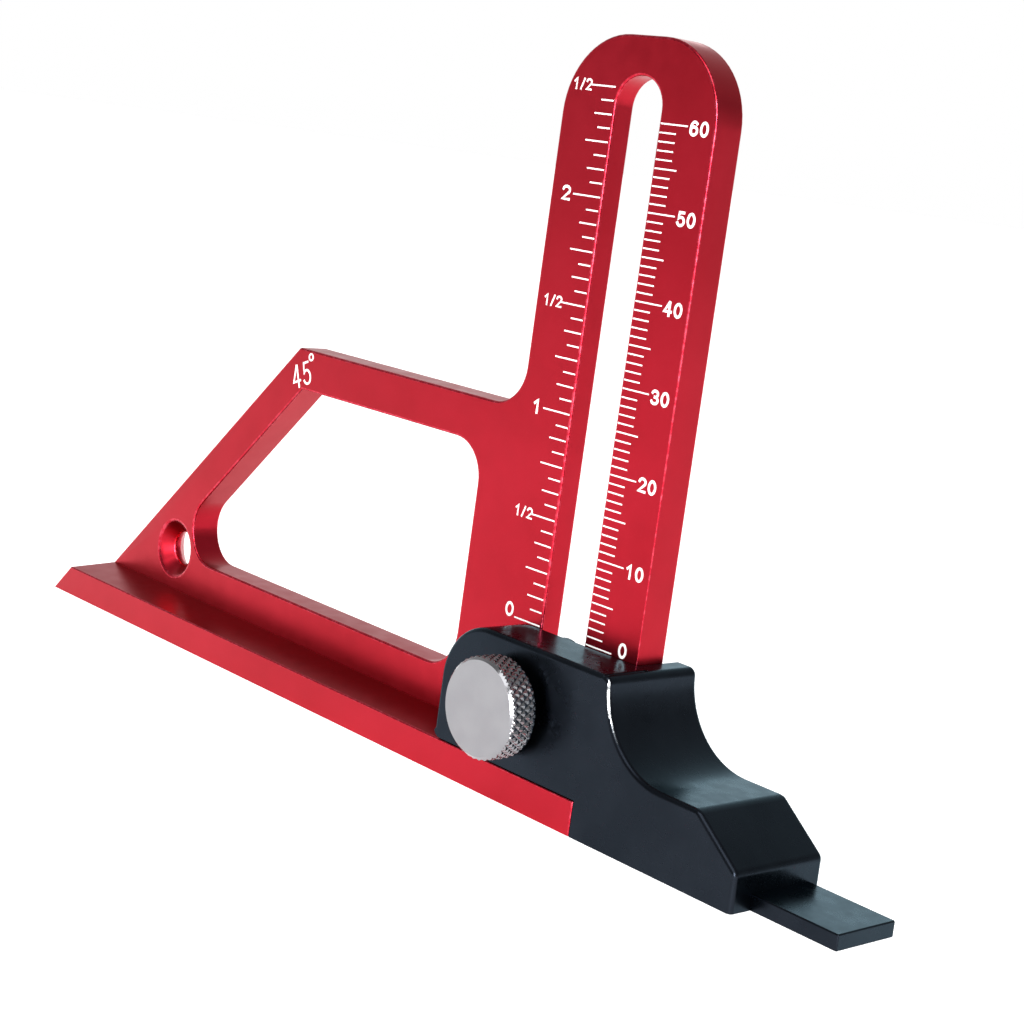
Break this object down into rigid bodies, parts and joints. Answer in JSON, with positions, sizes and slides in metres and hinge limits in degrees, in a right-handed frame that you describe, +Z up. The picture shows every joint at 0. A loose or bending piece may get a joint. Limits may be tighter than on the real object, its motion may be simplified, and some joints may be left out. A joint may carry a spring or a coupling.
{
  "type": "woodworking height and depth gauge with 45 degree edge",
  "caption": "Flat alloy height gauge: base flange, 45 degree arm and slotted scale upright, with a sliding block whose measuring foot is locked by a knurled thumb screw.",
  "frame": {"origin": "middle of the gauge's bounding box, on the plane that the base and the slider's foot rest on", "axes": "+X along the base towards the measuring foot, +Y from the knob through the plate to the back, +Z up along the scale"},
  "size_m": [0.1489, 0.019, 0.0889],
  "materials": {
    "red_anodised": "satin red anodised",
    "black_anodised": "satin black anodised",
    "nickel": "nickel plated, knurled rim",
    "steel": "turned and threaded"
  },
  "bodies": {
    "gauge": {"gauge_body": "red_anodised"},
    "slider": {"slider_block": "black_anodised"},
    "thumb_screw": {"knob": "nickel", "stud": "steel"},
    "nut": {"clamp_nut": "steel"}
  },
  "joints": [
    {"name": "slider_height", "type": "slide", "parent": "gauge", "child": "slider", "axis": [0, 0, 1], "range_m": [0, 0.065]},
    {"name": "screw_turn", "type": "hinge", "parent": "slider", "child": "thumb_screw", "pos_m": [0.0265, 0, 0.0115], "axis": [0, -1, 0], "range_deg": [0, 540]},
    {"name": "nut_release", "type": "slide", "parent": "slider", "child": "nut", "axis": [0, 1, 0], "range_m": [0, 0.00105]}
  ],
  "couplings": [
    {"joint": "screw_turn", "follows": "nut_release", "rad_per_m": 8975.9}
  ]
}
